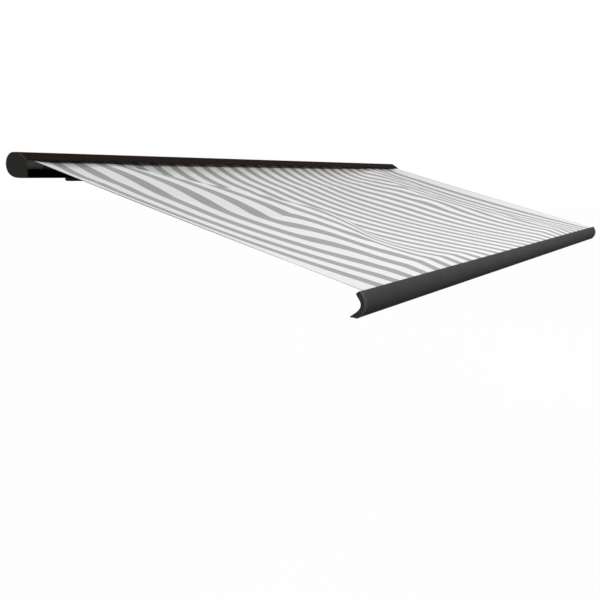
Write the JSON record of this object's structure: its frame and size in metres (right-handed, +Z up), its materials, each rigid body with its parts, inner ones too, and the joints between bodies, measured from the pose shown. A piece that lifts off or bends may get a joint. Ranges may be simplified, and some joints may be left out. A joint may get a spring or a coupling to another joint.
{
  "type": "folding arm awning",
  "caption": "Full-cassette folding-arm awning with striped cloth, roller, two spring arms and a hollow front bar that slides out from the wall.",
  "frame": {"origin": "middle of the middle wall bracket's back face, on the wall plane", "axes": "+X along the cassette, +Y into the wall, +Z up; the awning reaches out along -Y"},
  "size_m": [5.25, 2.502, 0.786],
  "materials": {
    "anthracite_paint": "matt powder coat",
    "anthracite_plastic": "matt",
    "painted_casting": "matt powder coat",
    "zinc_steel": "zinc plated",
    "spring_steel": "oiled",
    "roller_steel": "galvanised",
    "motor_casing": "satin",
    "black_plastic": "matt",
    "black_webbing": "woven",
    "awning_cloth": "woven acrylic",
    "white_piping": "satin"
  },
  "bodies": {
    "cassette": {"bearing_plate_left": "zinc_steel", "bearing_plate_right": "zinc_steel", "canopy_fabric": "awning_cloth", "cassette_back_shell": "anthracite_paint", "cassette_top_cover": "anthracite_paint", "end_cap_left": "anthracite_plastic", "end_cap_right": "anthracite_plastic", "foot_bolt_left_inner": "zinc_steel", "foot_bolt_left_outer": "zinc_steel", "foot_bolt_right_inner": "zinc_steel", "foot_bolt_right_outer": "zinc_steel", "idler_pin": "zinc_steel", "shoulder_bracket_left": "painted_casting", "shoulder_bracket_right": "painted_casting", "shoulder_foot_left": "painted_casting", "shoulder_foot_right": "painted_casting", "shoulder_pin_left": "zinc_steel", "shoulder_pin_right": "zinc_steel", "tubular_motor": "motor_casing", "wall_bolt_left_a": "zinc_steel", "wall_bolt_left_b": "zinc_steel", "wall_bolt_middle_a": "zinc_steel", "wall_bolt_middle_b": "zinc_steel", "wall_bolt_right_a": "zinc_steel", "wall_bolt_right_b": "zinc_steel", "wall_bracket_left": "zinc_steel", "wall_bracket_middle": "zinc_steel", "wall_bracket_right": "zinc_steel"},
    "roller": {"roller_tube": "roller_steel", "fabric_turns": "awning_cloth", "motor_crown": "black_plastic", "drive_wheel": "black_plastic", "idler_plug": "black_plastic"},
    "left_upper_arm": {"left_upper_arm": "anthracite_paint", "left_shoulder_knuckle": "painted_casting", "left_elbow_fork": "painted_casting", "left_elbow_strap": "black_webbing", "left_arm_spring": "spring_steel", "left_elbow_pin": "zinc_steel"},
    "left_forearm": {"left_forearm": "anthracite_paint", "left_elbow_knuckle": "painted_casting", "left_wrist_eye": "painted_casting"},
    "front_bar": {"front_bar": "anthracite_paint", "front_bar_cap_left": "anthracite_plastic", "front_bar_cap_right": "anthracite_plastic", "fabric_keder": "white_piping", "wrist_bracket_left": "painted_casting", "wrist_bracket_right": "painted_casting", "wrist_pin_left": "zinc_steel", "wrist_pin_right": "zinc_steel"},
    "right_upper_arm": {"right_upper_arm": "anthracite_paint", "right_shoulder_knuckle": "painted_casting", "right_elbow_fork": "painted_casting", "right_elbow_strap": "black_webbing", "right_arm_spring": "spring_steel", "right_elbow_pin": "zinc_steel"},
    "right_forearm": {"right_forearm": "anthracite_paint", "right_elbow_knuckle": "painted_casting", "right_wrist_eye": "painted_casting"}
  },
  "joints": [
    {"name": "left_shoulder", "type": "hinge", "parent": "cassette", "child": "left_upper_arm", "pos_m": [-2.025, -0.15079, -0.0054], "axis": [0, -0.2588, 0.9659], "range_deg": [0, 53.57], "deforming": ["canopy_fabric"]},
    {"name": "left_elbow", "type": "hinge", "parent": "left_upper_arm", "child": "left_forearm", "pos_m": [-1.17863, -1.29991, -0.3133], "axis": [0, -0.2588, 0.9659], "range_deg": [-107.14, 0]},
    {"name": "left_wrist", "type": "hinge", "parent": "left_forearm", "child": "front_bar", "pos_m": [-2.025, -2.44902, -0.6212], "axis": [0, -0.2588, 0.9659], "range_deg": [0, 53.57]},
    {"name": "right_shoulder", "type": "hinge", "parent": "cassette", "child": "right_upper_arm", "pos_m": [2.025, -0.15079, -0.0054], "axis": [0, -0.2588, 0.9659], "range_deg": [-53.57, 0]},
    {"name": "right_elbow", "type": "hinge", "parent": "right_upper_arm", "child": "right_forearm", "pos_m": [1.17863, -1.29991, -0.3133], "axis": [0, -0.2588, 0.9659], "range_deg": [0, 107.14]},
    {"name": "roller_turn", "type": "hinge", "parent": "cassette", "child": "roller", "pos_m": [0, -0.078, 0.0168], "axis": [1, 0, 0], "range_deg": [-3144.57, 0]}
  ],
  "couplings": [
    {"joint": "left_elbow", "follows": "left_shoulder", "ratio": -2},
    {"joint": "left_wrist", "follows": "left_shoulder", "ratio": 1},
    {"joint": "right_shoulder", "follows": "left_shoulder", "ratio": -1},
    {"joint": "right_elbow", "follows": "left_shoulder", "ratio": 2},
    {"joint": "roller_turn", "follows": "left_shoulder", "ratio": -58.7}
  ]
}
